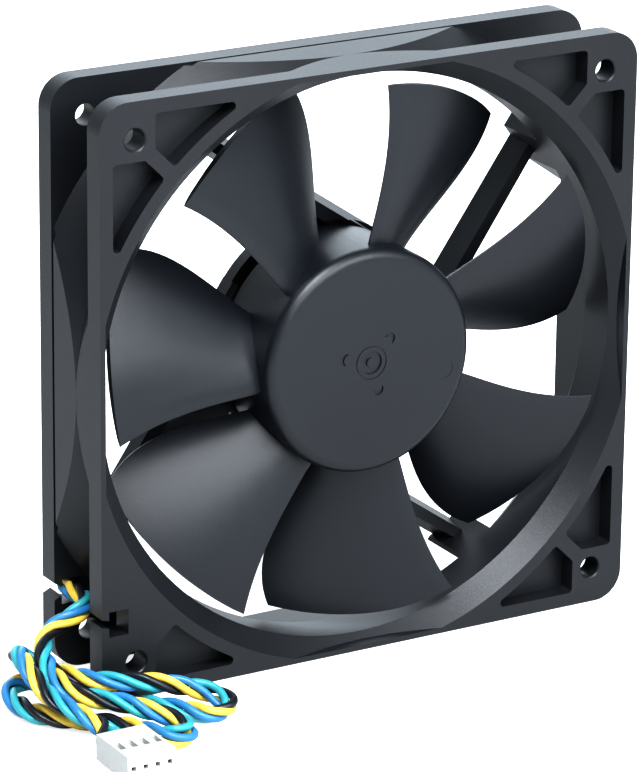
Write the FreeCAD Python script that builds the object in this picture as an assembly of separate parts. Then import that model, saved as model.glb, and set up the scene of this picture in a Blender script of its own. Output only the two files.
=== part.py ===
"""Axial case fan, 120 x 120 x 25 mm, built as an assembly of separate pieces.

The fan stands upright on the lower edges of its two flanges. X is to the right seen from the open
intake side, Y runs along the rotor axis from the intake (-Y) to the exhaust (+Y), Z is up, and the
origin is the middle of the lower edge. All sizes are millimetres.
"""
import FreeCAD
import Part
import math
import os

V = FreeCAD.Vector

# ---- driving dimensions -------------------------------------------------------------------------
SIZE = 120.0                    # side of the square frame
DEPTH = 25.0                    # along the rotor axis
HOLE_PITCH = 105.0              # between screw holes
HOLE_R = 2.2
FLANGE_T = 5.0                  # thickness of each square flange
CORNER_R = 6.0
THROAT_R = 57.7                 # bore that the blades turn in
TIP_R = 55.4                    # blade tips
BLADES = 7
HUB_R = 23.0
SHAFT_R = 1.5
WIRE_R = 0.75                   # one insulated conductor
LEAD_D = 4.0                    # the loose bundle of four conductors

HALF = SIZE / 2
AXIS_Z = HALF
FRONT = -DEPTH / 2
BACK = DEPTH / 2
FRONT_IN = FRONT + FLANGE_T     # inner faces of the flanges
BACK_IN = BACK - FLANGE_T
HOLE = HOLE_PITCH / 2

# intake cone and exhaust flare of the duct
CONE_R = 61.3
CONE_END = -8.4
CONE_WALL = 58.9
FLARE_START = 0.0
FLARE_R = 67.0
FLARE_WALL = 59.1
# outside of the duct: two cones that meet in a waist
WAIST_R = 60.0
WAIST_Y = -2.3
OUT_FRONT_R = 62.1
OUT_BACK_R = 67.1
GROOVE_W = 0.8
GROOVE_DEEP = 0.6

# four arms, each parallel to a direction from the axis and offset beside it
ARM_ANGLES = (55.0, 145.0, 235.0, 325.0)
WIRE_ARM = 235.0
ARM_IN = 18.6                   # offsets of the arm's two sides from the axis, at the back
ARM_OUT = 23.1
ARM_LEAN = 0.9                  # the outer side stands this much further out at the root
RIDGE_IN = 19.5                 # each arm narrows to a ridge at its front
RIDGE_OUT = 21.5
ARM_FRONT = 6.5
ARM_MID = (ARM_IN + ARM_OUT) / 2
ARM_END = 61.0
# the arm that carries the conductors keeps its width up to a shoulder, and widens at its root
SHOULDER_Y = 8.7
WIRE_ROOT = [(12.0, 18.8), (36.0, 18.8), (24.5, 9.0), (15.0, 9.0)]
ROTOR_GAP_R = 24.0              # the arms keep clear of the hub
ROTOR_GAP_BACK = 7.6
PAD_IN = 16.2                   # the wider foot where an arm meets the duct
PAD_OUT = 24.8
WEB_OUT = 36.0                  # solid web beside the feet of two opposite arms
WEB_START = 52.5
GUTTER_W = 3.2                  # open channel for the conductors in one arm
GUTTER_FLOOR = 9.35

# motor base
BASE_R = 23.9
BASE_IN_R = 22.5
BASE_FRONT = 9.3
BASE_FLOOR = 11.0
BOSS_R = 6.5
BOARD_R = 22.2
BOARD_Y0 = 9.6
BOARD_Y1 = 10.6
NOTCH_AT = 4.5                  # the board stops short of the channel for the conductors
LABEL_R = 19.5
LABEL_FLOOR = 12.1

# bearing column
TUBE_R = 4.6
TUBE_IN_R = 4.0
TUBE_FRONT = -6.5
SLEEVE_FRONT = -5.5
SLEEVE_BACK = 7.5
RUNNING_FIT = 0.02
SHAFT_FRONT = -10.0
SHAFT_BACK = 9.55
CLIP_Y = 8.3
CLIP_T = 0.4
CLIP_BORE = 1.1

# hub, steel cup and ring magnet
HUB_FACE = -11.8
HUB_IN = -10.2
HUB_BACK = 6.8
HUB_EDGE = 2.3                  # rounding of the hub's front rim
CUP_R = 21.2
CUP_T = 0.8
CUP_BACK = 6.4
MAGNET_IN_R = 18.4
MAGNET_FRONT = -6.0
MAGNET_BACK = 6.1
BUSH_R = 4.2
BUSH_BACK = -7.2

# stator
CORE_R = 17.9
CORE_Y = 4.0
RING_OUT_R = 8.2
POLE_W = 5.0
SHOE_R = 15.2
SHOE_HALF_ANGLE = 37.0
FORMER_T = 1.0
COIL_IN = 8.8
COIL_OUT = 14.0
LIP_R = 15.0                    # lip of each winding former outside the coil
LIP_H = 2.0
COIL_GAP = 0.15
COIL_T = 2.2
PIN_ANGLES = (45.0, 135.0, 315.0)
PIN_AT = 9.6
PIN_R = 0.4
PIN_FRONT = 5.0
PIN_BACK = 10.9

# window for the lead, one in each flange, at the lower left corner
WINDOW = (-58.4, -54.2, 13.7, 18.9)
EXIT = V(-56.3, 9.0, 16.3)

# loose lead: the stretch from the window to the hank, and the stretch from the hank to the connector
LEAD_ROUTE = [
    (-56.3, 9.0, 16.3), (-56.3, 4.0, 16.3), (-57.0, 0.0, 16.0), (-61.0, -1.5, 14.6),
    (-66.0, -1.8, 12.8), (-69.8, -6.5, 10.8)]
LEAD_END_ROUTE = [(-69.8, -28.2, 4.3), (-68.5, -32.0, 3.0), (-68.5, -36.0, 3.0)]
# outline on the floor of the folded hank, which passes the frame's corner
HANK_OUTLINE = [
    (-79.5, 0.0), (-70.5, 2.2), (-62.4, -8.5), (-60.9, -13.2), (-41.0, -21.5), (-39.2, -30.5),
    (-45.5, -34.5), (-55.5, -39.6), (-60.2, -38.8), (-63.4, -34.4), (-74.6, -26.6), (-80.5, -14.0)]
HANK_LEFT_X = -80.5
HANK_LEFT_H = 14.0
HANK_RIGHT_X = -39.0
HANK_RIGHT_H = 6.5
HANK_EDGE = 2.0

# four-way connector lying on the floor, its mating face towards -Y
PLUG_X = -68.5
PLUG_BACK = -36.0
PLUG_LEN = 12.6
PLUG_W = 10.2
PLUG_H = 5.0
PLUG_PITCH = 2.54
PLUG_AXIS_Z = 3.0
PLUG_RIB = 0.9


# ---- helpers ------------------------------------------------------------------------------------
def cylinder(radius, y0, y1, x=0.0, z=AXIS_Z):
    """Solid disc or rod along Y, by default on the rotor axis."""
    return Part.makeCylinder(radius, y1 - y0, V(x, y0, z), V(0, 1, 0))


def ring(inner, outer, y0, y1):
    return cylinder(outer, y0, y1).cut(cylinder(inner, y0 - 1, y1 + 1))


def cone(r0, r1, y0, y1):
    return Part.makeCone(r0, r1, y1 - y0, V(0, y0, AXIS_Z), V(0, 1, 0))


def block(x0, x1, y0, y1, z0, z1):
    return Part.makeBox(x1 - x0, y1 - y0, z1 - z0, V(x0, y0, z0))


def turned(profile):
    """Solid of revolution about the rotor axis from (radius, y) points."""
    points = [V(r, y, AXIS_Z) for r, y in profile]
    face = Part.Face(Part.makePolygon(points + points[:1]))
    return face.revolve(V(0, 0, AXIS_Z), V(0, 1, 0), 360)


def about_axis(shape, degrees):
    """Copy turned about the rotor axis, counter-clockwise seen from the intake."""
    copy = shape.copy()
    copy.rotate(V(0, 0, AXIS_Z), V(0, 1, 0), -degrees)
    return copy


def square_slab(half, y0, y1):
    return block(-half, half, y0, y1, AXIS_Z - half, AXIS_Z + half)


def prism(points, y0, y1):
    """Solid between two planes of constant Y over an outline of (x, z) points."""
    corners = [V(x, y0, z) for x, z in points]
    return Part.Face(Part.makePolygon(corners + corners[:1])).extrude(V(0, y1 - y0, 0))


def arm_prism(points, y0, y1, angle):
    """Prism over (along, offset) points: along the direction at angle, and beside the axis."""
    return about_axis(prism([(along, AXIS_Z - offset) for along, offset in points], y0, y1), angle)


def arm_bar(start, end, side_in, side_out, y0, y1, angle):
    corners = [(start, side_in), (end, side_in), (end, side_out), (start, side_out)]
    return arm_prism(corners, y0, y1, angle)


def arm_point(angle, along, offset, y):
    c, s = math.cos(math.radians(angle)), math.sin(math.radians(angle))
    return V(along * c + offset * s, y, AXIS_Z + along * s - offset * c)


def fuse_all(shapes):
    return shapes[0].multiFuse(shapes[1:]) if len(shapes) > 1 else shapes[0]


def y_edges(shape, length):
    """Straight edges of a given length that run along Y."""
    found = []
    for edge in shape.Edges:
        a, b = edge.Vertexes[0].Point, edge.Vertexes[-1].Point
        if abs(abs(b.y - a.y) - length) < 1e-6 and abs(a.x - b.x) + abs(a.z - b.z) < 1e-6:
            found.append(edge)
    return found


def rounded_route(points, name):
    """Wire of straight runs joined by tangent arcs as large as the two runs allow."""
    points = [V(*p) for p in points]
    edges, radii, last = [], [], points[0]
    for before, corner, after in zip(points, points[1:], points[2:]):
        u = (before - corner).normalize()
        v = (after - corner).normalize()
        turn = math.pi - math.acos(max(-1.0, min(1.0, u.dot(v))))
        reach = 0.45 * min((before - corner).Length, (after - corner).Length)
        radii.append(reach / math.tan(turn / 2))
        start, end = corner + u * reach, corner + v * reach
        centre = corner + (u + v).normalize() * (radii[-1] / math.cos(turn / 2))
        middle = centre + (corner - centre).normalize() * radii[-1]
        edges += [Part.LineSegment(last, start).toShape(), Part.Arc(start, middle, end).toShape()]
        last = end
    edges.append(Part.LineSegment(last, points[-1]).toShape())
    print(name, "bend radii", [round(r, 1) for r in radii])
    return Part.Wire(edges)


def tube_along(path, radius):
    start = path.Edges[0].firstVertex().Point
    direction = path.Edges[0].tangentAt(path.Edges[0].FirstParameter)
    section = Part.Wire(Part.makeCircle(radius, start, direction))
    tube = path.makePipeShell([section], True, False)
    return tube


def export(name, shape):
    shape = shape.removeSplitter() if shape.Solids else shape
    if len(shape.Solids) == 1:
        shape = shape.Solids[0]
    state = "ok" if shape.isValid() else "INVALID"
    print(f"{name:24s} solids {len(shape.Solids):2d}  {shape.Volume:10.2f} mm3  {state}")
    shape.exportStep(f"parts/{name}.step")


# ---- frame --------------------------------------------------------------------------------------
POCKET_EDGE = 57.2              # pockets in the front flange, beside each screw hole
POCKET_NEAR_HOLE = 48.2
POCKET_ARC_R = 63.8
POCKET_RIB = 2.1
POCKET_DEEP = 4.0
POCKET_FILLET = 0.9


def pocket():
    """Blind pocket to the right of the top middle, beside the upper right screw hole."""
    tip_x = math.sqrt(POCKET_ARC_R ** 2 - POCKET_EDGE ** 2)
    foot_x = (math.sqrt(2 * POCKET_ARC_R ** 2 - POCKET_RIB ** 2) - POCKET_RIB) / 2
    foot_z = foot_x + POCKET_RIB
    mid_angle = (math.atan2(POCKET_EDGE, tip_x) + math.atan2(foot_z, foot_x)) / 2

    def at(x, z):
        return V(x, FRONT - 1, AXIS_Z + z)

    tip = at(tip_x, POCKET_EDGE)
    corner = at(POCKET_NEAR_HOLE, POCKET_EDGE)
    shoulder = at(POCKET_NEAR_HOLE, POCKET_NEAR_HOLE + POCKET_RIB)
    foot = at(foot_x, foot_z)
    arc_mid = at(POCKET_ARC_R * math.cos(mid_angle), POCKET_ARC_R * math.sin(mid_angle))
    outline = Part.Wire([
        Part.LineSegment(tip, corner).toShape(), Part.LineSegment(corner, shoulder).toShape(),
        Part.LineSegment(shoulder, foot).toShape(), Part.Arc(foot, arc_mid, tip).toShape()])
    solid = Part.Face(outline).extrude(V(0, POCKET_DEEP + 1, 0))
    return solid.makeFillet(POCKET_FILLET, y_edges(solid, POCKET_DEEP + 1))


def mirrored(shape, flip_x, flip_z, swap):
    """Copy mirrored into another corner; swap exchanges X and Z about the diagonal."""
    copy = shape
    if swap:
        copy = copy.mirror(V(0, 0, AXIS_Z), V(1, 0, -1))
    if flip_x:
        copy = copy.mirror(V(0, 0, AXIS_Z), V(1, 0, 0))
    if flip_z:
        copy = copy.mirror(V(0, 0, AXIS_Z), V(0, 0, 1))
    return copy


def flange(y0, y1):
    slab = square_slab(HALF, y0, y1)
    return slab.makeFillet(CORNER_R, y_edges(slab, y1 - y0))


def duct_outside():
    body = turned([(0, FRONT_IN), (OUT_FRONT_R, FRONT_IN), (WAIST_R, WAIST_Y),
                   (OUT_BACK_R, BACK_IN), (0, BACK_IN)])
    body = body.common(square_slab(HALF, FRONT_IN, BACK_IN))
    groove = square_slab(HALF + 1, BACK_IN - GROOVE_W, BACK_IN)
    groove = groove.cut(square_slab(HALF - GROOVE_DEEP, BACK_IN - GROOVE_W - 1, BACK_IN + 1))
    return body.cut(groove)


def duct_inside():
    """Everything the air passes through, with the feet of the arms left standing."""
    intake = cone(CONE_R, THROAT_R, FRONT, CONE_END).common(square_slab(CONE_WALL, FRONT, BACK))
    lead_in = cylinder(CONE_R, FRONT - 1, FRONT).common(square_slab(CONE_WALL, FRONT - 1, BACK))
    throat = cylinder(THROAT_R, CONE_END - 0.5, BACK + 1)
    flare = cone(THROAT_R, FLARE_R, FLARE_START, BACK)
    flare = flare.fuse(cylinder(FLARE_R, BACK, BACK + 1))
    flare = flare.common(square_slab(FLARE_WALL, FLARE_START, BACK + 1))
    for angle in ARM_ANGLES:
        flare = flare.cut(arm_bar(WEB_START, 70, PAD_IN, PAD_OUT, FLARE_START, BACK + 1, angle))
    for angle in (ARM_ANGLES[0], ARM_ANGLES[2]):
        web = arm_bar(WEB_START, 70, PAD_OUT - 0.5, WEB_OUT, FLARE_START, BACK + 1, angle)
        flare = flare.cut(web)
    return fuse_all([intake, lead_in, throat, flare])


def arm(angle):
    """Motor arm with slanted sides; its section is a list of (offset, y) points."""
    inner = [(ARM_IN, BACK), (RIDGE_IN, ARM_FRONT)]
    outer = [(RIDGE_OUT, ARM_FRONT), (ARM_OUT, BACK)]
    if angle == WIRE_ARM:
        inner.insert(1, (ARM_IN, SHOULDER_Y))
        outer.insert(1, (ARM_OUT, SHOULDER_Y))
    ends = []
    for along, lean in ((0.0, ARM_LEAN), (ARM_END, 0.0)):
        corners = [V(along, y, AXIS_Z - offset) for offset, y in inner]
        corners += [V(along, y, AXIS_Z - offset - lean) for offset, y in outer]
        ends.append(Part.makePolygon(corners + corners[:1]))
    return about_axis(Part.makeLoft(ends, True, True), angle)


def lead_window(y0, y1):
    """Rectangular window with a slot that lets the lead in from the left edge."""
    x0, x1, z0, z1 = WINDOW
    return block(x0, x1, y0, y1, z0, z1)


def frame():
    body = fuse_all([flange(FRONT, FRONT_IN), flange(BACK_IN, BACK), duct_outside()])
    body = body.cut(duct_inside())

    arms = [arm(angle) for angle in ARM_ANGLES]
    arms.append(arm_prism(WIRE_ROOT, SHOULDER_Y, BACK, WIRE_ARM))
    inside = cylinder(THROAT_R + 0.6, ARM_FRONT - 1, BACK + 1)
    inside = inside.cut(cylinder(BASE_IN_R, ARM_FRONT - 1, BASE_FLOOR))
    inside = inside.cut(cylinder(ROTOR_GAP_R, ARM_FRONT - 1, ROTOR_GAP_BACK))
    arms = [bar.common(inside) for bar in arms]
    base = ring(BASE_IN_R, BASE_R, BASE_FRONT, BACK).fuse(cylinder(BASE_R, BASE_FLOOR, BACK))
    base = base.fuse(cylinder(BOSS_R, BOARD_Y1, BASE_FLOOR))
    body = fuse_all([body, base] + arms)

    body = body.cut(cylinder(TUBE_R, BOARD_Y1 - 1, BACK + 1))
    body = body.cut(cylinder(LABEL_R, LABEL_FLOOR, BACK + 1))
    gutter = arm_bar(1.0, 67.0, ARM_MID - GUTTER_W / 2, ARM_MID + GUTTER_W / 2,
                     GUTTER_FLOOR, BACK + 1, WIRE_ARM)
    body = body.cut(gutter)

    for x in (-HOLE, HOLE):
        for z in (AXIS_Z - HOLE, AXIS_Z + HOLE):
            body = body.cut(cylinder(HOLE_R, FRONT - 1, BACK + 1, x, z))
            chamfer = Part.makeCone(HOLE_R + 0.25, HOLE_R, 0.25, V(x, FRONT, z), V(0, 1, 0))
            body = body.cut(chamfer)

    first = pocket()
    for flip_x in (False, True):
        for flip_z in (False, True):
            for swap in (False, True):
                if not (flip_x and flip_z and swap):
                    body = body.cut(mirrored(first, flip_x, flip_z, swap))

    for y0, y1 in ((FRONT - 1, FRONT_IN + 1), (BACK_IN - 1, BACK + 1)):
        body = body.cut(lead_window(y0, y1))
    front_slot = prism([(-HALF - 1, 17.9), (-58.0, 17.0), (-58.0, 15.5), (-HALF - 1, 16.2)],
                       FRONT - 1, FRONT_IN + 1)
    back_slot = prism([(-HALF - 1, 18.9), (-58.0, 17.2), (-58.0, 15.7), (-HALF - 1, 14.2)],
                      BACK_IN - 1, BACK + 1)
    return body.cut(front_slot).cut(back_slot)


# ---- impeller -----------------------------------------------------------------------------------
BLADE_MID_ANGLE = 120.0
BLADE_SECTIONS = (21.4, 30.0, 39.0, 48.0, 57.0)
EDGE_STRETCH = 1.049            # an edge lies this much further out than its section plane
BLADE_T_ROOT = 2.3
BLADE_T_TIP = 1.5
BLADE_CAMBER = 0.055
# three small crescents moulded into the hub's face
MARK_ANGLES = (46.0, 166.0, 286.0)
MARK_AT = 6.0
MARK_R = 1.2


def blade_edges(height):
    """Sideways and axial places of the leading and trailing edge at one section plane."""
    s = (height * EDGE_STRETCH - HUB_R) / (TIP_R - HUB_R)
    lead_angle = 138.0 - 10.0 * s + 9.6 * s * s
    trail_angle = 103.3 - 23.0 * s + 21.0 * s * s
    lead_x = -height * math.tan(math.radians(lead_angle - BLADE_MID_ANGLE))
    trail_x = -height * math.tan(math.radians(trail_angle - BLADE_MID_ANGLE))
    return (lead_x, -7.9 - 2.3 * s), (trail_x, 0.6 + 13.4 * s - 10.5 * s * s)


def blade_section(height):
    """Closed aerofoil outline in a plane square to the blade's middle direction."""
    (x0, y0), (x1, y1) = blade_edges(height)
    chord = math.hypot(x1 - x0, y1 - y0)
    along = ((x1 - x0) / chord, (y1 - y0) / chord)
    front = (along[1], -along[0])
    share = (height - HUB_R) / (TIP_R - HUB_R)
    thick = BLADE_T_ROOT + (BLADE_T_TIP - BLADE_T_ROOT) * share
    stations = (0.0, 0.03, 0.12, 0.3, 0.55, 0.8, 1.0)
    fullness = (0.0, 0.42, 0.75, 1.0, 0.95, 0.75, 0.45)

    def point(t, half):
        bulge = 4 * BLADE_CAMBER * chord * t * (1 - t) + half
        x = x0 + along[0] * chord * t + front[0] * bulge
        y = y0 + along[1] * chord * t + front[1] * bulge
        return V(x, y, height)

    upper = [point(t, thick / 2 * f) for t, f in zip(stations, fullness)]
    lower = [point(t, -thick / 2 * f) for t, f in zip(stations, fullness)]
    spline = Part.BSplineCurve()
    spline.interpolate(upper[::-1] + lower[1:])
    return Part.Wire([spline.toShape(), Part.LineSegment(lower[-1], upper[-1]).toShape()])


def blade():
    """One blade; its sections are drawn along +Z and then turned to the blade's own direction."""
    solid = Part.makeLoft([blade_section(h) for h in BLADE_SECTIONS], True, False)
    solid.rotate(V(0, 0, 0), V(0, 1, 0), 90 - BLADE_MID_ANGLE)
    solid.translate(V(0, 0, AXIS_Z))
    return solid.common(cylinder(TIP_R, FRONT, BACK))


def impeller():
    outside = cylinder(HUB_R, HUB_FACE, HUB_BACK)
    rim = [e for e in outside.Edges if abs(e.BoundBox.YMax - HUB_FACE) < 1e-6
           and abs(e.BoundBox.YMin - HUB_FACE) < 1e-6]
    hub = outside.makeFillet(HUB_EDGE, rim).cut(cylinder(CUP_R, HUB_IN, HUB_BACK + 1))
    gate = ring(0.9, 2.4, HUB_FACE - 1, HUB_FACE + 0.35)
    groove = ring(3.2, 3.5, HUB_FACE - 1, HUB_FACE + 0.15)
    ejector_mark = cylinder(2.1, HUB_FACE - 1, HUB_FACE + 0.06, 16.7, AXIS_Z - 3.9)
    hub = hub.cut(gate).cut(groove).cut(ejector_mark)
    for angle in MARK_ANGLES:
        mark = cylinder(MARK_R, HUB_FACE - 1, HUB_FACE + 0.3, MARK_AT)
        mark = mark.cut(cylinder(MARK_R, HUB_FACE - 2, HUB_FACE + 1, MARK_AT - 0.9))
        hub = hub.cut(about_axis(mark, angle))
    one = blade()
    return fuse_all([hub] + [about_axis(one, 360.0 * k / BLADES) for k in range(BLADES)])


# ---- rotor parts inside the hub -----------------------------------------------------------------
def rotor_cup():
    body = cylinder(CUP_R, HUB_IN, CUP_BACK).cut(cylinder(CUP_R - CUP_T, HUB_IN + CUP_T, CUP_BACK + 1))
    return body.cut(cylinder(BUSH_R, HUB_IN - 1, HUB_IN + 2))


def shaft():
    body = cylinder(SHAFT_R, SHAFT_FRONT, SHAFT_BACK)
    end = [e for e in body.Edges if abs(e.BoundBox.YMin - SHAFT_BACK) < 1e-6]
    body = body.makeFillet(0.6, end)
    return body.cut(ring(CLIP_BORE, SHAFT_R + 1, CLIP_Y, CLIP_Y + CLIP_T))


def shaft_bush():
    return ring(SHAFT_R, BUSH_R, HUB_IN, BUSH_BACK)


def retaining_clip():
    washer = ring(CLIP_BORE, 2.9, CLIP_Y, CLIP_Y + CLIP_T)
    mouth = block(-0.7, 0.7, CLIP_Y - 1, CLIP_Y + 2, AXIS_Z, AXIS_Z + 4)
    return washer.cut(mouth)


# ---- stator -------------------------------------------------------------------------------------
def pole(angle):
    arm = block(0, CORE_R, -CORE_Y, CORE_Y, AXIS_Z - POLE_W / 2, AXIS_Z + POLE_W / 2)
    shoe = ring(SHOE_R, CORE_R, -CORE_Y, CORE_Y)
    reach = CORE_R * 1.5
    half = math.radians(SHOE_HALF_ANGLE)
    wedge = prism([(0, AXIS_Z), (reach, AXIS_Z + reach * math.tan(half)),
                   (reach, AXIS_Z - reach * math.tan(half))], -CORE_Y, CORE_Y)
    return about_axis(arm.common(cylinder(CORE_R, -CORE_Y, CORE_Y)).fuse(shoe.common(wedge)), angle)


def stator_core():
    body = fuse_all([ring(TUBE_R, RING_OUT_R, -CORE_Y, CORE_Y)] + [pole(90 * k) for k in range(4)])
    return body.cut(cylinder(TUBE_R, -CORE_Y - 1, CORE_Y + 1))


def winding_former(y0, y1, lugs):
    """Moulded insulator on one face of the laminations, with a lip outside each coil."""
    pieces = [ring(TUBE_R, RING_OUT_R, y0, y1)]
    outward = 1 if y1 > CORE_Y else -1
    lip_y0 = y0 if outward > 0 else y0 - LIP_H
    lip_y1 = y1 + LIP_H if outward > 0 else y1
    for k in range(4):
        arm = block(0, LIP_R, y0, y1, AXIS_Z - POLE_W / 2, AXIS_Z + POLE_W / 2)
        lip = ring(LIP_R, LIP_R + 1.0, lip_y0, lip_y1)
        lip = lip.common(block(0, 20, -12, 12, AXIS_Z - 5, AXIS_Z + 5))
        pieces.append(about_axis(arm.fuse(lip), 90 * k))
    if lugs:
        for angle in PIN_ANGLES:
            lug = block(4, PIN_AT + 1.4, y0, y1 + 1.5, AXIS_Z - 1.3, AXIS_Z + 1.3)
            pieces.append(about_axis(lug, angle))
    body = fuse_all(pieces).cut(cylinder(TUBE_R, y0 - 3, y1 + 3))
    if lugs:
        for angle in PIN_ANGLES:
            hole = cylinder(PIN_R, y0 - 1, y1 + 3, PIN_AT)
            body = body.cut(about_axis(hole, angle))
    return body


def coil(angle):
    """Winding round one pole: a rounded rectangular ring with its axis along the pole."""
    half_w = POLE_W / 2 + COIL_GAP
    half_y = CORE_Y + FORMER_T + COIL_GAP
    outer = block(COIL_IN, COIL_OUT, -half_y - COIL_T, half_y + COIL_T,
                  AXIS_Z - half_w - COIL_T, AXIS_Z + half_w + COIL_T)
    along = [e for e in outer.Edges if abs(e.BoundBox.XLength - (COIL_OUT - COIL_IN)) < 1e-6]
    outer = outer.makeFillet(COIL_T - 0.3, along)
    hole = block(COIL_IN - 1, COIL_OUT + 1, -half_y, half_y, AXIS_Z - half_w, AXIS_Z + half_w)
    return about_axis(outer.cut(hole), angle)


def winding_pins():
    pins = [about_axis(cylinder(PIN_R, PIN_FRONT, PIN_BACK, PIN_AT), a) for a in PIN_ANGLES]
    return Part.makeCompound(pins)


# ---- circuit board ------------------------------------------------------------------------------

def circuit_board():
    body = ring(TUBE_R + 0.3, BOARD_R, BOARD_Y0, BOARD_Y1)
    for angle in PIN_ANGLES:
        body = body.cut(about_axis(cylinder(PIN_R + 0.1, BOARD_Y0 - 1, BOARD_Y1 + 1, PIN_AT), angle))
    notch = arm_bar(NOTCH_AT, 30, ARM_MID - GUTTER_W / 2 - 0.2, 30, BOARD_Y0 - 1, BOARD_Y1 + 1, WIRE_ARM)
    return body.cut(notch)


def chip(length, width, height, radius_at, angle):
    """Component soldered on the side of the board that faces the stator."""
    body = block(radius_at - length / 2, radius_at + length / 2, BOARD_Y0 - height, BOARD_Y0,
                 AXIS_Z - width / 2, AXIS_Z + width / 2)
    return about_axis(body, angle)


def chip_resistors():
    places = ((13.0, 10.0), (13.0, 25.0), (16.0, 168.0), (16.0, 190.0), (13.5, 292.0), (17.0, 300.0))
    return Part.makeCompound([chip(2.0, 1.2, 0.5, r, a) for r, a in places])


# ---- conductors and lead ------------------------------------------------------------------------
WIRE_STEP = 2 * WIRE_R + 0.02
WIRE_START = 4.6
WIRE_TURN = 0.8
WINDOW_ALONG = 68.1             # where the arm's line meets the middle of the window


def arm_conductor(side, layer):
    """Conductor along the arm's channel that turns through the window towards the intake."""
    offset = ARM_MID + side * WIRE_STEP / 2
    y = GUTTER_FLOOR + WIRE_R + 0.04 + (WIRE_STEP if layer > 0 else 0.0)
    end = WINDOW_ALONG + layer * WIRE_STEP / 2
    radius = WIRE_TURN + (WIRE_STEP if layer > 0 else 0.0)
    a = arm_point(WIRE_ARM, WIRE_START, offset, y)
    b = arm_point(WIRE_ARM, end - radius, offset, y)
    bend = math.sqrt(0.5) * radius
    m = arm_point(WIRE_ARM, end - radius + bend, offset, y - radius + bend)
    c = arm_point(WIRE_ARM, end, offset, y - radius)
    d = arm_point(WIRE_ARM, end, offset, EXIT.y)
    path = [Part.LineSegment(a, b).toShape(), Part.Arc(b, m, c).toShape()]
    if (c - d).Length > 1e-3:
        path.append(Part.LineSegment(c, d).toShape())
    return tube_along(Part.Wire(path), WIRE_R)


def hank():
    """Outer shape of the folded lead: a mound on the floor, highest at its left end."""
    corners = [V(x, y, 0) for x, y in HANK_OUTLINE]
    solid = Part.Face(Part.makePolygon(corners + corners[:1])).extrude(V(0, 0, HANK_LEFT_H + 1))
    above = prism([(HANK_LEFT_X - 1, HANK_LEFT_H), (HANK_RIGHT_X + 1, HANK_RIGHT_H),
                   (HANK_RIGHT_X + 1, HANK_LEFT_H + 5), (HANK_LEFT_X - 1, HANK_LEFT_H + 5)], -60, 20)
    solid = solid.cut(above)
    top = max(solid.Faces, key=lambda face: face.CenterOfMass.z)
    return solid.makeChamfer(HANK_EDGE, top.Edges)


def connector_housing():
    front = PLUG_BACK - PLUG_LEN
    body = block(PLUG_X - PLUG_W / 2, PLUG_X + PLUG_W / 2, front, PLUG_BACK, 0.6, 0.6 + PLUG_H)
    for x in (PLUG_X - PLUG_PITCH, PLUG_X + PLUG_PITCH):
        body = body.fuse(block(x - PLUG_RIB / 2, x + PLUG_RIB / 2, front, PLUG_BACK - 1.5, 0.0, 0.7))
    for k in range(4):
        x = PLUG_X + (k - 1.5) * PLUG_PITCH
        body = body.cut(block(x - 0.9, x + 0.9, front + 1.0, PLUG_BACK + 1,
                              PLUG_AXIS_Z - 0.9, PLUG_AXIS_Z + 0.9))
        body = body.cut(block(x - 0.45, x + 0.45, front - 1, front + 2,
                              PLUG_AXIS_Z - 0.45, PLUG_AXIS_Z + 0.45))
        body = body.cut(block(x - 0.6, x + 0.6, front + 4.0, front + 7.0, PLUG_AXIS_Z, 7.0))
    return body


def connector_contacts():
    """Four crimped sockets, one behind each hole of the housing."""
    front = PLUG_BACK - PLUG_LEN
    pieces = []
    for k in range(4):
        x = PLUG_X + (k - 1.5) * PLUG_PITCH
        sleeve = block(x - 0.85, x + 0.85, front + 1.05, front + 8.0,
                       PLUG_AXIS_Z - 0.85, PLUG_AXIS_Z + 0.85)
        bore = block(x - 0.55, x + 0.55, front, front + 6.5, PLUG_AXIS_Z - 0.55, PLUG_AXIS_Z + 0.55)
        pieces.append(sleeve.cut(bore))
    return Part.makeCompound(pieces)


# ---- assembly -----------------------------------------------------------------------------------
os.makedirs("parts", exist_ok=True)

export("frame", frame())
export("impeller", impeller())
export("rotor_cup", rotor_cup())
export("ring_magnet", ring(MAGNET_IN_R, CUP_R - CUP_T, MAGNET_FRONT, MAGNET_BACK))
export("shaft", shaft())
export("shaft_bush", shaft_bush())
export("retaining_clip", retaining_clip())

export("bearing_tube", ring(TUBE_IN_R, TUBE_R, TUBE_FRONT, LABEL_FLOOR))
export("sleeve_bearing", ring(SHAFT_R + RUNNING_FIT, TUBE_IN_R, SLEEVE_FRONT, SLEEVE_BACK))
export("oil_seal_ring", ring(SHAFT_R + 0.2, TUBE_IN_R, TUBE_FRONT + 0.2, SLEEVE_FRONT))
export("thrust_washer", ring(SHAFT_R + 0.1, 3.4, SLEEVE_BACK, SLEEVE_BACK + 0.5))
export("thrust_pad", cylinder(TUBE_IN_R, SHAFT_BACK + 0.05, 10.2))
export("bearing_plug", cylinder(TUBE_IN_R, 10.2, LABEL_FLOOR))
export("back_label", cylinder(LABEL_R - 0.3, LABEL_FLOOR, LABEL_FLOOR + 0.15))

export("stator_core", stator_core())
export("front_winding_former", winding_former(-CORE_Y - FORMER_T, -CORE_Y, False))
export("rear_winding_former", winding_former(CORE_Y, CORE_Y + FORMER_T, True))
for index in range(4):
    export(f"coil_{index + 1}", coil(90 * index))
export("winding_pins", winding_pins())

export("circuit_board", circuit_board())
export("driver_ic", chip(4.0, 5.0, 1.4, 15.5, 75.0))
export("hall_sensor", chip(1.6, 3.0, 2.6, 19.4, 45.0))
export("capacitor", chip(3.2, 2.5, 1.6, 17.0, 120.0))
export("diode", chip(2.6, 4.4, 1.2, 16.0, 340.0))
export("chip_resistors", chip_resistors())

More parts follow.
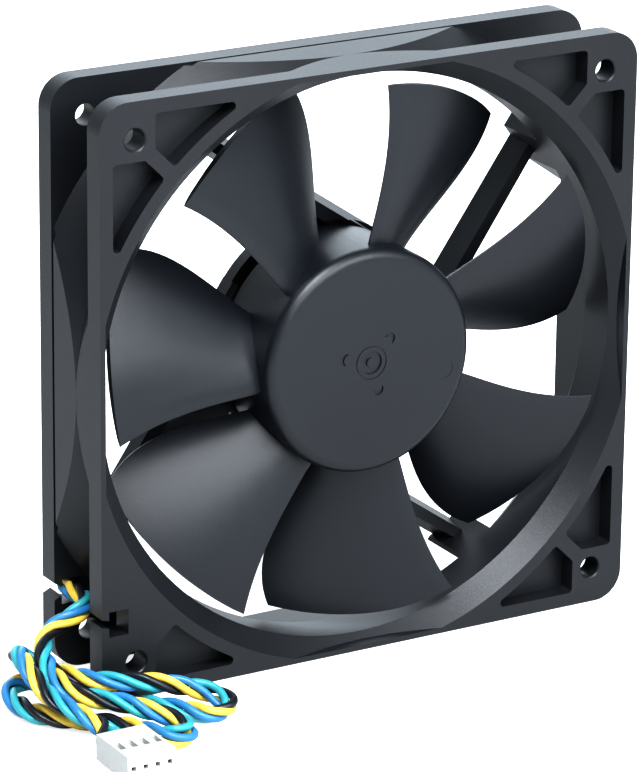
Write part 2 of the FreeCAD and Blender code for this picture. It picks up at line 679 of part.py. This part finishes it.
for colour, side, layer in (("black", -1, -1), ("yellow", 1, -1), ("green", -1, 1), ("blue", 1, 1)):
    export(f"inner_wire_{colour}", arm_conductor(side, layer))

lead_path = rounded_route(LEAD_ROUTE, "lead")
lead = tube_along(lead_path, LEAD_D / 2)
print("lead volume over section x length", lead.Volume / (math.pi * LEAD_D ** 2 / 4 * lead_path.Length))
export("lead", lead)
export("lead_hank", hank())
lead_end_path = rounded_route(LEAD_END_ROUTE, "lead end")
export("lead_end", tube_along(lead_end_path, LEAD_D / 2))
export("connector_housing", connector_housing())
export("connector_contacts", connector_contacts())
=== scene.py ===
"""Looks of the case fan: the twisted lead, materials, floor, lights and camera around the CAD frame."""

import math

import bpy
import numpy as np
from mathutils import Matrix, Vector


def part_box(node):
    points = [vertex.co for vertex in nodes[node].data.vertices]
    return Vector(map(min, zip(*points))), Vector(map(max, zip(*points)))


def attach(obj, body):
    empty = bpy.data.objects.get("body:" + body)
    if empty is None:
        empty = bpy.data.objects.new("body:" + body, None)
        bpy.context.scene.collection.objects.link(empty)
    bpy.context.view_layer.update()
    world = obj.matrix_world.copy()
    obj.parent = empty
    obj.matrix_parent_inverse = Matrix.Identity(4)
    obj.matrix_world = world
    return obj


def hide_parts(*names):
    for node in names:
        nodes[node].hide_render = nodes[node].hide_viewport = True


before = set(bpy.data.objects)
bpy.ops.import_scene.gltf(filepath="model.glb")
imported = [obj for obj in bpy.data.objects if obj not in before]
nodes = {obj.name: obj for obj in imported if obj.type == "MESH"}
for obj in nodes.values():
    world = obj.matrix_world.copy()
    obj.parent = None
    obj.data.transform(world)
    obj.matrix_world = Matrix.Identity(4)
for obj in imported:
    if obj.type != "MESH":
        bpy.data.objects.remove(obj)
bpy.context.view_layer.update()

AXIS_Z = 0.06                   # height of the fan's axis above the floor

# ---- camera -------------------------------------------------------------------------------------
CAM_TARGET = Vector((0, 0, AXIS_Z))
CAM_AZIMUTH = math.radians(-30.41)
CAM_ELEVATION = math.radians(19.081)
CAM_ROLL = math.radians(0.63)
CAM_DISTANCE = 0.91732
CAM_SIDE = -0.003993            # sideways shift of the camera and of its aim
CAM_RISE = -0.007979
CAM_LENS = 216.5
SENSOR = 36.0


def make_camera():
    back = Vector((math.sin(CAM_AZIMUTH) * math.cos(CAM_ELEVATION),
                   -math.cos(CAM_AZIMUTH) * math.cos(CAM_ELEVATION), math.sin(CAM_ELEVATION)))
    right = Vector((math.cos(CAM_AZIMUTH), math.sin(CAM_AZIMUTH), 0))
    up = back.cross(right)
    place = CAM_TARGET + back * CAM_DISTANCE + right * CAM_SIDE + up * CAM_RISE
    turned_right = right * math.cos(CAM_ROLL) + up * math.sin(CAM_ROLL)
    turned_up = up * math.cos(CAM_ROLL) - right * math.sin(CAM_ROLL)
    data = bpy.data.cameras.new("camera")
    data.lens = CAM_LENS
    data.sensor_width = SENSOR
    camera = bpy.data.objects.new("camera", data)
    axes = Matrix((turned_right, turned_up, back)).transposed()
    camera.matrix_world = Matrix.Translation(place) @ axes.to_4x4()
    bpy.context.scene.collection.objects.link(camera)
    bpy.context.scene.camera = camera


# ---- lead ---------------------------------------------------------------------------------------
# control points of the lead's centreline, from the window in the flanges to the connector
ROUTE = [
    (-0.0563, 0.0090, 0.0163), (-0.0563, 0.0040, 0.0163), (-0.0570, 0.0000, 0.0160),
    (-0.0610, -0.0015, 0.0146), (-0.0660, -0.0018, 0.0128), (-0.0698, -0.0065, 0.0108),
    (-0.0718, -0.0140, 0.0092), (-0.0703, -0.0205, 0.0074), (-0.0655, -0.0230, 0.0062),
    (-0.0615, -0.0265, 0.0058), (-0.0585, -0.0295, 0.0048), (-0.0550, -0.0320, 0.0034),
    (-0.0536, -0.0356, 0.0024), (-0.0578, -0.0370, 0.0021), (-0.0610, -0.0315, 0.0021),
    (-0.0640, -0.0268, 0.0021), (-0.0682, -0.0222, 0.0021), (-0.0728, -0.0182, 0.0021),
    (-0.0764, -0.0120, 0.0021), (-0.0756, -0.0030, 0.0023), (-0.0706, -0.0002, 0.0026),
    (-0.0670, -0.0050, 0.0024), (-0.0630, -0.0115, 0.0024), (-0.0575, -0.0180, 0.0023),
    (-0.0528, -0.0230, 0.0022), (-0.0488, -0.0270, 0.0021), (-0.0460, -0.0306, 0.0021),
    (-0.0418, -0.0296, 0.0023), (-0.0424, -0.0252, 0.0034), (-0.0465, -0.0229, 0.0048),
    (-0.0508, -0.0214, 0.0060), (-0.0560, -0.0192, 0.0066), (-0.0618, -0.0158, 0.0066),
    (-0.0652, -0.0100, 0.0062), (-0.0678, -0.0036, 0.0062), (-0.0708, -0.0010, 0.0076),
    (-0.0730, -0.0028, 0.0098), (-0.0743, -0.0070, 0.0102), (-0.0747, -0.0115, 0.0090),
    (-0.0744, -0.0152, 0.0076), (-0.0738, -0.0192, 0.0064), (-0.0720, -0.0245, 0.0056),
    (-0.0698, -0.0282, 0.0043), (-0.0685, -0.0320, 0.0030), (-0.0685, -0.0360, 0.0030),
]
STRAND_R = 0.00078
STRAND_SIDES = 12
STRAND_STEP = 0.0005            # between the rings of a strand's tube
STRAND_OFFSET = 0.0012          # of each strand's centre from the lead's centreline
START_OFFSET = 0.001075         # where the strands leave the channel in the frame's arm
START_LENGTH = 0.006            # over which the first offset grows to the usual one
TWIST_PITCH = 0.019
FAN_LENGTH = 0.007              # the strands part over this length before the connector
FLOOR_GAP = 0.00005             # kept between the strands and the floor
TAIL_GAP = 0.0001               # between the end of a strand and its tail
TAIL_LENGTH = 0.0042
# colour, quarter turn round the lead, sideways place at the connector
STRANDS = (("black", 0, -0.00381), ("yellow", 1, -0.00127),
           ("green", 3, 0.00127), ("blue", 2, 0.00381))
FOLD_SPREAD = 0.0011            # strands bulge outwards at the folds
FOLD_UNEVEN = 0.8               # share by which that bulge varies along the lead
FOLD_WAVE = 0.0105              # length over which it varies, for one radian
FOLD_CURVATURE = 260.0          # curvature, per metre, of a full fold
BEND_BLUR = 5                   # samples
OUTWARD_BLUR = 4

ALONG_X = np.array((1.0, 0.0, 0.0))


def route_line(points):
    """Evenly spaced points on the smooth NURBS line of the route."""
    curve = bpy.data.curves.new("lead_route", "CURVE")
    curve.dimensions = "3D"
    curve.resolution_u = 16
    spline = curve.splines.new("NURBS")
    spline.points.add(len(points) - 1)
    for control, place in zip(spline.points, points):
        control.co = (*place, 1.0)
    spline.order_u = 3
    spline.use_endpoint_u = True
    holder = bpy.data.objects.new("lead_route", curve)
    mesh = bpy.data.meshes.new_from_object(holder)
    line = np.array([v.co for v in mesh.vertices], float)
    bpy.data.objects.remove(holder)
    bpy.data.curves.remove(curve)
    bpy.data.meshes.remove(mesh)
    along = np.concatenate(([0.0], np.cumsum(np.linalg.norm(np.diff(line, axis=0), axis=1))))
    even = np.linspace(0.0, along[-1], int(along[-1] / STRAND_STEP) + 1)
    return np.stack([np.interp(even, along, line[:, k]) for k in range(3)], 1), even


def unit(v):
    return v / np.maximum(np.linalg.norm(v, axis=-1, keepdims=True), 1e-12)


def carried_frame(line, first):
    """Tangents and two sideways directions that turn with a line without twisting about it."""
    tangents = unit(np.gradient(line, axis=0))
    sides = [unit(first - tangents[0] * (first @ tangents[0]))]
    for tangent in tangents[1:]:
        side = sides[-1] - tangent * (sides[-1] @ tangent)
        sides.append(unit(side))
    sides = np.array(sides)
    return tangents, sides, np.cross(tangents, sides)


def smooth_step(t):
    t = np.clip(t, 0.0, 1.0)
    return t * t * (3 - 2 * t)


def blurred(values, reach):
    """Values along the line, averaged over a bell-shaped window of that many samples."""
    window = np.exp(-0.5 * (np.arange(-3 * reach, 3 * reach + 1) / reach) ** 2)
    window /= window.sum()
    padded = np.pad(values, ((3 * reach, 3 * reach), (0, 0)), "edge")
    return np.stack([np.convolve(padded[:, k], window, "valid") for k in range(3)], 1)


def tube(line):
    """Vertices and faces of one strand: a round tube with closed ends along a line."""
    sides = STRAND_SIDES
    _, side, other = carried_frame(line, ALONG_X)
    angles = np.arange(sides) * 2 * math.pi / sides
    rings = (line[:, None, :] + STRAND_R * (np.cos(angles)[None, :, None] * side[:, None, :]
                                            + np.sin(angles)[None, :, None] * other[:, None, :]))
    count = len(line)
    faces = []
    for i in range(count - 1):
        for k in range(sides):
            m = (k + 1) % sides
            faces.append((i * sides + k, i * sides + m, (i + 1) * sides + m, (i + 1) * sides + k))
    faces.append(tuple(range(sides))[::-1])
    faces.append(tuple((count - 1) * sides + k for k in range(sides)))
    return rings.reshape(-1, 3), faces


def build_mesh(name, parts, materials):
    """One object from (vertices, faces, material index) parts, smooth shaded."""
    vertices, faces, indices = [], [], []
    for part_vertices, part_faces, index in parts:
        base = len(vertices)
        vertices += [tuple(v) for v in part_vertices]
        faces += [tuple(base + i for i in face) for face in part_faces]
        indices += [index] * len(part_faces)
    mesh = bpy.data.meshes.new(name)
    mesh.from_pydata(vertices, [], faces)
    for material in materials:
        mesh.materials.append(material)
    mesh.polygons.foreach_set("material_index", indices)
    mesh.polygons.foreach_set("use_smooth", [True] * len(faces))
    mesh.update()
    made = bpy.data.objects.new(name, mesh)
    bpy.context.scene.collection.objects.link(made)
    return made


def make_lead(materials):
    """The four twisted strands, and the lead's centreline."""
    line, along = route_line(ROUTE)
    length = along[-1]
    tangents, side, other = carried_frame(line, ALONG_X)

    # the first strand ends on the left of the connector, after whole turns of about the usual pitch
    left = -ALONG_X
    end_angle = math.atan2(left @ other[-1], left @ side[-1])
    turns = round((length / TWIST_PITCH * 2 * math.pi - end_angle) / (2 * math.pi))
    rate = (end_angle + 2 * math.pi * turns) / length

    bend = blurred(np.gradient(tangents, along, axis=0), BEND_BLUR)
    sharpness = np.linalg.norm(bend, axis=1)
    outward = -unit(bend) * smooth_step(sharpness / FOLD_CURVATURE)[:, None]
    outward = blurred(outward, OUTWARD_BLUR)
    offset = START_OFFSET + (STRAND_OFFSET - START_OFFSET) * smooth_step(along / START_LENGTH)
    fan = smooth_step((along - (length - FAN_LENGTH)) / FAN_LENGTH)

    parts = []
    for index, (_, quarter, sideways) in enumerate(STRANDS):
        angle = rate * along + quarter * math.pi / 2
        round_lead = offset[:, None] * (np.cos(angle)[:, None] * side + np.sin(angle)[:, None] * other)
        wave = np.sin(along / FOLD_WAVE + quarter * 1.7)
        spread = FOLD_SPREAD * (1.0 + FOLD_UNEVEN * wave)
        round_lead = round_lead + outward * spread[:, None]
        strand = line + round_lead * (1 - fan)[:, None] + sideways * ALONG_X * fan[:, None]
        strand[:, 2] = np.maximum(strand[:, 2], STRAND_R + FLOOR_GAP)
        parts.append((*tube(strand), index))
    lead = build_mesh("lead_strands", parts, materials)
    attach(lead, "housing")
    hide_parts("lead", "lead_hank", "lead_end")
    return lead, line


def make_tails(materials):
    """The strands' ends inside the connector, one in each cavity."""
    _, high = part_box("connector_housing")
    parts = []
    for index, (_, _, sideways) in enumerate(STRANDS):
        start = np.array((ROUTE[-1][0] + sideways, high.y + TAIL_GAP, ROUTE[-1][2]))
        line = start + np.linspace(0, TAIL_LENGTH, 6)[:, None] * np.array((0.0, -1.0, 0.0))
        parts.append((*tube(line), index))
    tails = build_mesh("lead_tails", parts, materials)
    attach(tails, "housing")
    return tails


# ---- materials ----------------------------------------------------------------------------------
class Nodes:
    """Short way to add shader nodes and join them."""

    def __init__(self, name):
        self.material = bpy.data.materials.new(name)
        self.material.use_nodes = True
        self.tree = self.material.node_tree
        self.shader = self.tree.nodes["Principled BSDF"]
        self.coords = self.add("ShaderNodeTexCoord").outputs["Object"]

    def add(self, kind, **settings):
        node = self.tree.nodes.new(kind)
        for key, value in settings.items():
            setattr(node, key, value)
        return node

    def join(self, source, target):
        self.tree.links.new(source, target)

    def noise(self, scale, detail=2.0, roughness=0.5, stretch=None):
        node = self.add("ShaderNodeTexNoise")
        node.inputs["Scale"].default_value = scale
        node.inputs["Detail"].default_value = detail
        node.inputs["Roughness"].default_value = roughness
        place = self.coords
        if stretch:
            mapping = self.add("ShaderNodeMapping")
            mapping.inputs["Scale"].default_value = stretch
            self.join(place, mapping.inputs["Vector"])
            place = mapping.outputs["Vector"]
        self.join(place, node.inputs["Vector"])
        return node.outputs["Fac"]

    def ramp(self, value, low, high, to_low=0.0, to_high=1.0):
        node = self.add("ShaderNodeMapRange")
        for key, number in (("From Min", low), ("From Max", high), ("To Min", to_low), ("To Max", to_high)):
            node.inputs[key].default_value = number
        self.join(value, node.inputs["Value"])
        return node.outputs["Result"]

    def math(self, operation, a, b):
        node = self.add("ShaderNodeMath", operation=operation)
        for k, value in enumerate((a, b)):
            if isinstance(value, (int, float)):
                node.inputs[k].default_value = value
            else:
                self.join(value, node.inputs[k])
        return node.outputs[0]

    def mix(self, factor, a, b):
        node = self.add("ShaderNodeMix", data_type="RGBA")
        for socket, value in ((node.inputs[0], factor), (node.inputs[6], a), (node.inputs[7], b)):
            if isinstance(value, (int, float)):
                socket.default_value = value
            elif isinstance(value, tuple):
                socket.default_value = (*value, 1.0)
            else:
                self.join(value, socket)
        return node.outputs[2]

    def bump(self, height, distance, strength=1.0):
        node = self.add("ShaderNodeBump")
        node.inputs["Strength"].default_value = strength
        node.inputs["Distance"].default_value = distance
        self.join(height, node.inputs["Height"])
        return node.outputs["Normal"]

    def finish(self, colour, roughness, normal=None, **values):
        for name, value in (("Base Color", colour), ("Roughness", roughness), ("Normal", normal)):
            if value is None:
                continue
            socket = self.shader.inputs[name]
            if isinstance(value, tuple):
                socket.default_value = (*value, 1.0)
            elif isinstance(value, (int, float)):
                socket.default_value = value
            else:
                self.join(value, socket)
        for name, value in values.items():
            self.shader.inputs[name.replace("_", " ")].default_value = value
        return self.material


def moulded_plastic(name, dark, light, roughness, grain, dust):
    """Moulded plastic: fine grain, a faintly cloudy tone, uneven gloss and scattered pale dust."""
    n = Nodes(name)
    cloud = n.noise(30.0, 3.0, 0.5)
    speck = n.noise(2600.0, 2.0, 0.6)
    colour = n.mix(n.ramp(cloud, 0.25, 0.75), dark, light)
    pale = tuple(v * 2.2 + 0.02 for v in light)
    dusty = n.ramp(n.noise(1100.0, 2.0, 0.7), 0.66, 0.8, 0.0, 0.3 * dust)
    colour = n.mix(n.math("MULTIPLY", dusty, n.ramp(n.noise(60.0, 2.0), 0.45, 0.7)), colour, pale)
    gloss = n.math("ADD", n.ramp(cloud, 0.25, 0.75, roughness - 0.02, roughness + 0.03),
                   n.ramp(speck, 0.3, 0.7, -0.03, 0.03))
    height = n.math("ADD", speck, n.math("MULTIPLY", n.noise(700.0, 3.0), 0.6))
    return n.finish(colour, gloss, n.bump(height, grain))


def metal(name, colour, roughness, stretch=(400.0, 8000.0, 400.0)):
    """Metal with fine turned or drawn lines."""
    n = Nodes(name)
    lines = n.noise(1.0, 2.0, 0.5, stretch)
    tone = n.mix(n.ramp(lines, 0.3, 0.7), tuple(v * 0.82 for v in colour), colour)
    gloss = n.ramp(n.noise(300.0, 3.0), 0.3, 0.7, roughness - 0.06, roughness + 0.08)
    return n.finish(tone, gloss, n.bump(lines, 0.00002), Metallic=1.0)


def plain(name, colour, roughness, scale=900.0, depth=0.00002, shift=0.85, **values):
    """Even material with slight mottling and a fine surface."""
    n = Nodes(name)
    mottle = n.noise(scale, 3.0, 0.6)
    tone = n.mix(n.ramp(mottle, 0.3, 0.7), tuple(v * shift for v in colour), colour)
    gloss = n.ramp(n.noise(scale * 0.3, 2.0), 0.3, 0.7, roughness - 0.05, roughness + 0.06)
    return n.finish(tone, gloss, n.bump(mottle, depth), **values)


def insulation(name, colour, roughness=0.34):
    """Extruded PVC: faint lengthwise tone changes and a soft gloss."""
    n = Nodes(name)
    tone = n.mix(n.ramp(n.noise(180.0, 3.0, 0.6), 0.3, 0.7), tuple(v * 0.8 for v in colour), colour)
    tone = n.mix(n.ramp(n.noise(1500.0, 2.0), 0.62, 0.8, 0.0, 0.25), tone, tuple(v * 0.6 for v in colour))
    gloss = n.ramp(n.noise(500.0, 2.0), 0.3, 0.7, roughness - 0.05, roughness + 0.08)
    return n.finish(tone, gloss, n.bump(n.noise(1200.0, 2.0), 0.00003))


def windings(name, colour):
    """Enamelled wire wound in layers; the turns show as fine ridges, with painted shade darkening the
    grooves between them.
    """
    n = Nodes(name)
    wave = n.add("ShaderNodeTexWave", wave_type="RINGS", rings_direction="SPHERICAL")
    mapping = n.add("ShaderNodeMapping")
    mapping.inputs["Location"].default_value = (0.0, 0.0, -AXIS_Z)
    n.join(n.coords, mapping.inputs["Vector"])
    n.join(mapping.outputs["Vector"], wave.inputs["Vector"])
    wave.inputs["Scale"].default_value = 1100.0
    wave.inputs["Distortion"].default_value = 0.6
    ridges = wave.outputs["Fac"]
    # painted shade: the copper colour falls to a third of itself in the grooves between turns
    tone = n.mix(ridges, tuple(v * 0.35 for v in colour), colour)
    return n.finish(tone, 0.32, n.bump(ridges, 0.00008), Metallic=0.85)


LABEL_RING_R = 0.0178
LABEL_RING_HALF = 0.00035       # half the ring's width
LABEL_BAND_DROP = 0.0065        # of the band's middle below the axis
LABEL_BAND_HALF = 0.0021


def label(name):
    """Plain printed film: a pale disc with a grey band and a thin ring, without text."""
    n = Nodes(name)
    split = n.add("ShaderNodeSeparateXYZ")
    n.join(n.coords, split.inputs[0])
    x, z = split.outputs["X"], n.math("SUBTRACT", split.outputs["Z"], AXIS_Z)
    radius = n.math("SQRT", n.math("ADD", n.math("MULTIPLY", x, x), n.math("MULTIPLY", z, z)), 0.0)
    from_ring = n.math("ABSOLUTE", n.math("SUBTRACT", radius, LABEL_RING_R), 0.0)
    ring = n.math("LESS_THAN", from_ring, LABEL_RING_HALF)
    from_band = n.math("ABSOLUTE", n.math("ADD", z, LABEL_BAND_DROP), 0.0)
    band = n.math("LESS_THAN", from_band, LABEL_BAND_HALF)
    inside = n.math("LESS_THAN", radius, LABEL_RING_R)
    mark = n.math("MAXIMUM", ring, n.math("MULTIPLY", band, inside))
    paper = n.mix(n.ramp(n.noise(1600.0, 3.0), 0.3, 0.7), (0.44, 0.45, 0.46), (0.49, 0.5, 0.51))
    colour = n.mix(mark, paper, (0.09, 0.1, 0.12))
    return n.finish(colour, 0.38, n.bump(n.noise(90.0, 2.0), 0.0001))


def laminate(name):
    """Circuit board: solder mask with traces just visible beneath it, both greens darkened as painted
    shade.
    """
    n = Nodes(name)
    cells = n.add("ShaderNodeTexVoronoi", feature="DISTANCE_TO_EDGE")
    cells.inputs["Scale"].default_value = 260.0
    n.join(n.coords, cells.inputs["Vector"])
    trace = n.ramp(cells.outputs["Distance"], 0.05, 0.08)
    # painted shade: both solder-mask greens are darkened to stand for the shade the board sits in behind
    # the hub
    colour = n.mix(trace, (0.02, 0.06, 0.03), (0.008, 0.027, 0.014))
    return n.finish(colour, 0.35, n.bump(trace, 0.00003))


def laminations(name):
    """Edges of stacked steel sheets, half a millimetre each."""
    n = Nodes(name)
    wave = n.add("ShaderNodeTexWave", bands_direction="Y")
    wave.inputs["Scale"].default_value = 320.0
    n.join(n.coords, wave.inputs["Vector"])
    sheets = n.ramp(wave.outputs["Fac"], 0.0, 0.25)
    colour = n.mix(sheets, (0.08, 0.08, 0.085), (0.42, 0.42, 0.44))
    return n.finish(colour, 0.42, n.bump(sheets, 0.00005), Metallic=0.9)


WIRE_COLOURS = {
    "black": (0.012, 0.014, 0.02),
    "yellow": (0.78, 0.56, 0.09),
    "green": (0.05, 0.36, 0.4),
    "blue": (0.04, 0.22, 0.46),
}


def make_materials():
    made = {
        "frame": moulded_plastic("frame_black_pbt", (0.007, 0.008, 0.0095), (0.011, 0.012, 0.0145),
                                 0.42, 0.000025, 1.0),
        "impeller": moulded_plastic("impeller_black_pbt", (0.007, 0.0085, 0.011), (0.01, 0.0115, 0.015),
                                    0.36, 0.000014, 0.4),
        "steel": metal("drawn_steel", (0.62, 0.62, 0.63), 0.34),
        "ground": metal("ground_steel", (0.72, 0.72, 0.73), 0.18),
        "laminations": laminations("stator_laminations"),
        "ferrite": plain("bonded_ferrite", (0.05, 0.048, 0.046), 0.7, 1500.0, 0.00005),
        "brass": metal("turned_brass", (0.72, 0.52, 0.25), 0.3),
        "bronze": plain("sintered_bronze", (0.42, 0.28, 0.14), 0.5, 3000.0, 0.00005, 0.6, Metallic=0.8),
        "nylon": plain("natural_nylon", (0.8, 0.78, 0.71), 0.45, 1200.0, 0.00002, 0.93),
        "rubber": plain("plug_rubber", (0.02, 0.02, 0.022), 0.65, 1800.0, 0.00004),
        "label": label("label_film"),
        "former": plain("former_white_pbt", (0.72, 0.71, 0.64), 0.48, 1500.0, 0.00002, 0.93),
        "copper": windings("enamelled_copper", (0.6, 0.24, 0.09)),
        "tin": metal("tinned_pin", (0.78, 0.77, 0.74), 0.28),
        "board": laminate("board_laminate"),
        "chip": plain("chip_epoxy", (0.022, 0.022, 0.024), 0.55, 4000.0, 0.00003),
        "ceramic": plain("capacitor_ceramic", (0.5, 0.36, 0.22), 0.5, 3000.0, 0.00003),
        "connector": plain("connector_nylon", (0.5, 0.5, 0.48), 0.4, 900.0, 0.00002, 0.96),
    }
    for colour, value in WIRE_COLOURS.items():
        made["wire_" + colour] = insulation("insulation_" + colour, value)
    return made


NODE_MATERIALS = {
    "frame": "frame", "impeller": "impeller", "rotor_cup": "steel", "ring_magnet": "ferrite",
    "shaft": "ground", "shaft_bush": "brass", "retaining_clip": "nylon", "bearing_tube": "brass",
    "sleeve_bearing": "bronze", "oil_seal_ring": "nylon", "thrust_washer": "nylon",
    "thrust_pad": "nylon", "bearing_plug": "rubber", "back_label": "label",
    "stator_core": "laminations", "front_winding_former": "former", "rear_winding_former": "former",
    "coil_1": "copper", "coil_2": "copper", "coil_3": "copper", "coil_4": "copper",
    "winding_pins": "tin", "circuit_board": "board", "driver_ic": "chip", "hall_sensor": "chip",
    "capacitor": "ceramic", "diode": "chip", "chip_resistors": "chip",
    "inner_wire_black": "wire_black", "inner_wire_yellow": "wire_yellow",
    "inner_wire_green": "wire_green", "inner_wire_blue": "wire_blue",
    "connector_housing": "connector", "connector_contacts": "tin",
}


def dress_nodes(materials):
    for name, kind in NODE_MATERIALS.items():
        piece = nodes[name]
        piece.data.materials.clear()
        piece.data.materials.append(materials[kind])


# ---- surroundings -------------------------------------------------------------------------------
FLOOR_HALF = 6.0
FLOOR_Z = -0.0002
FLOOR_BOUNCE = (0.65, 0.65, 0.65)       # floor colour that lights the fan
FLOOR_GLOW = 0.5                        # light added where the camera sees the floor


def make_floor():
    corners = ((-1, -1), (1, -1), (1, 1), (-1, 1))
    mesh = bpy.data.meshes.new("floor")
    mesh.from_pydata([(x * FLOOR_HALF, y * FLOOR_HALF, FLOOR_Z) for x, y in corners],
                     [], [(0, 1, 2, 3)])
    floor = bpy.data.objects.new("floor", mesh)
    n = Nodes("floor_white")
    seen = n.add("ShaderNodeLightPath").outputs["Is Camera Ray"]
    tone = n.mix(n.noise(6.0, 2.0), (0.86, 0.86, 0.86), (0.88, 0.88, 0.88))
    n.join(n.math("MULTIPLY", seen, FLOOR_GLOW), n.shader.inputs["Emission Strength"])
    mesh.materials.append(n.finish(n.mix(seen, FLOOR_BOUNCE, tone), 0.9,
                                   Emission_Color=(1.0, 1.0, 1.0, 1.0)))
    bpy.context.scene.collection.objects.link(floor)


WORLD_COLOUR = (0.84, 0.93, 1.0, 1.0)
WORLD_TOP = 2.7                         # radiance behind the fan
# share of that radiance from the front (0) through the sides (0.5) to the back (1)
WORLD_LEVELS = ((0.0, 0.34), (0.3, 0.26), (0.5, 0.06), (0.72, 0.55), (1.0, 1.0))

# the surround is dimmer towards the fan's left
WORLD_SIDE = {"From Min": -0.25, "From Max": 0.25, "To Min": 0.25, "To Max": 1.0}


def make_world():
    """White where the camera sees it; elsewhere a soft surround, brightest behind the fan."""
    world = bpy.data.worlds.new("studio")
    world.use_nodes = True
    tree = world.node_tree

    def add(kind):
        return tree.nodes.new("ShaderNode" + kind)

    def times(a, b):
        node = add("Math")
        node.operation = "MULTIPLY"
        tree.links.new(a, node.inputs[0])
        if isinstance(b, float):
            node.inputs[1].default_value = b
        else:
            tree.links.new(b, node.inputs[1])
        return node.outputs[0]

    split = add("SeparateXYZ")
    tree.links.new(add("TexCoord").outputs["Generated"], split.inputs[0])

    depth = add("MapRange")
    depth.inputs["From Min"].default_value = -1.0
    tree.links.new(split.outputs["Y"], depth.inputs["Value"])
    level = add("ValToRGB")
    level.color_ramp.interpolation = "EASE"
    stops = level.color_ramp.elements
    for place, value in WORLD_LEVELS:
        stop = stops[0] if place == 0.0 else stops[-1] if place == 1.0 else stops.new(place)
        stop.color = (value, value, value, 1.0)
    tree.links.new(depth.outputs["Result"], level.inputs[0])

    side = add("MapRange")
    for key, value in WORLD_SIDE.items():
        side.inputs[key].default_value = value
    tree.links.new(split.outputs["X"], side.inputs["Value"])

    fill = add("Background")
    fill.inputs["Color"].default_value = WORLD_COLOUR
    strength = times(times(level.outputs[0], WORLD_TOP), side.outputs["Result"])
    tree.links.new(strength, fill.inputs["Strength"])
    seen = tree.nodes["Background"]
    seen.inputs["Color"].default_value = (1.0, 1.0, 1.0, 1.0)
    mix = add("MixShader")
    tree.links.new(add("LightPath").outputs["Is Camera Ray"], mix.inputs[0])
    tree.links.new(fill.outputs[0], mix.inputs[1])
    tree.links.new(seen.outputs[0], mix.inputs[2])
    tree.links.new(mix.outputs[0], tree.nodes["World Output"].inputs["Surface"])
    bpy.context.scene.world = world


LAMP_COLOUR = (0.91, 0.95, 1.0)


def area_light(name, place, size, power):
    """Rectangular lamp aimed at the middle of the fan."""
    data = bpy.data.lights.new(name, "AREA")
    data.shape = "RECTANGLE"
    data.size, data.size_y = size
    data.energy = power
    data.color = LAMP_COLOUR
    light = bpy.data.objects.new(name, data)
    light.location = place
    light.rotation_mode = "QUATERNION"
    light.rotation_quaternion = (CAM_TARGET - Vector(place)).to_track_quat("-Z", "Y")
    bpy.context.scene.collection.objects.link(light)


# ---- scene --------------------------------------------------------------------------------------
make_camera()
materials = make_materials()
wires = [materials["wire_" + colour] for colour, _, _ in STRANDS]
lead, lead_line = make_lead(wires)
tails = make_tails(wires)
dress_nodes(materials)
make_floor()
make_world()
area_light("key", (-0.38, -0.5, 1.1), (0.5, 0.5), 15.5)
area_light("fill", (0.1, -0.9, 0.7), (1.2, 0.7), 15.5)
bpy.context.scene.view_settings.view_transform = "Standard"
bpy.context.scene.view_settings.look = "High Contrast"
